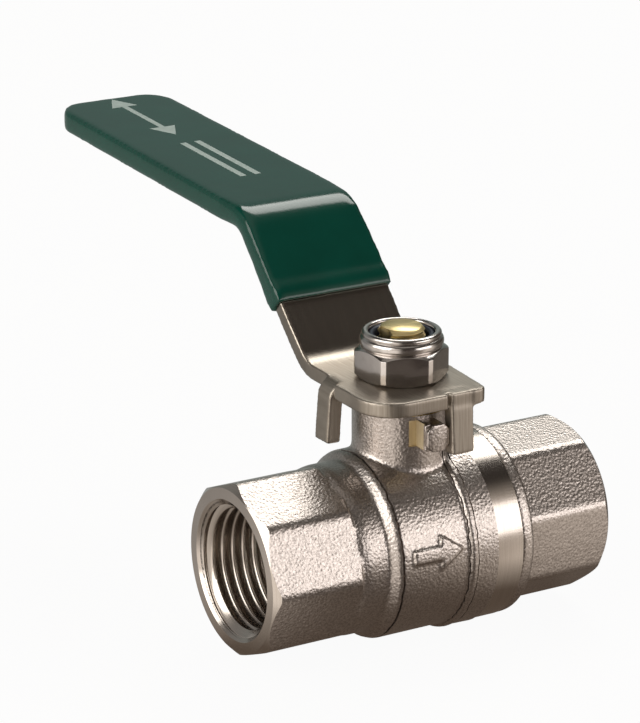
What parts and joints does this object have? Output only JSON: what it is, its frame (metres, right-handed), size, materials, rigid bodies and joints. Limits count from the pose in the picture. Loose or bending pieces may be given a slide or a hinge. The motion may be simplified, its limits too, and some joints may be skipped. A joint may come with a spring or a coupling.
{
  "type": "ball valve",
  "caption": "Lever-operated ball valve with female threaded ports, octagonal ends, a cranked steel lever in a dipped sleeve, and a stop post on the stem's neck.",
  "frame": {"origin": "centre of the body's port face, on the pipe axis; the ball's centre lies 30 mm along +X from it", "axes": "+X along the pipe axis from the body's port to the end cap's port; +Z along the stem, from the ball to the lever; +Y the way the lever points while the valve is shut"},
  "size_m": [0.0605, 0.1142, 0.0641],
  "materials": {
    "nickel_brass": "nickel plated over a shot-blasted forging, machined at the ports and joint",
    "seal_rubber": "smooth",
    "ptfe": "smooth, waxy",
    "ball_chrome": "mirror plated",
    "stem_brass": "turned",
    "gland_brass": "turned",
    "lever_steel": "brushed lengthwise",
    "sleeve_pvc": "glossy dipped coat",
    "nut_steel": "polished",
    "insert_nylon": "smooth"
  },
  "bodies": {
    "housing": {"body": "nickel_brass", "end_cap": "nickel_brass", "cap_o_ring": "seal_rubber", "body_seat": "ptfe", "cap_seat": "ptfe", "thrust_washer": "ptfe", "packing_lower": "ptfe", "packing_upper": "ptfe", "gland_washer": "gland_brass", "gland_nut": "gland_brass"},
    "handle": {"stem": "stem_brass", "stem_o_ring": "seal_rubber", "lever": "lever_steel", "lever_sleeve": "sleeve_pvc", "lever_nut": "nut_steel", "nut_insert": "insert_nylon"},
    "ball": {"ball": "ball_chrome"}
  },
  "joints": [
    {"name": "lever_turn", "type": "hinge", "parent": "housing", "child": "handle", "pos_m": [0.03, 0, 0], "axis": [0, 0, 1], "range_deg": [0, 90]},
    {"name": "ball_turn", "type": "hinge", "parent": "housing", "child": "ball", "pos_m": [0.03, 0, 0], "axis": [0, 0, 1], "range_deg": [0, 90]}
  ],
  "couplings": [
    {"joint": "ball_turn", "follows": "lever_turn", "ratio": 1}
  ]
}
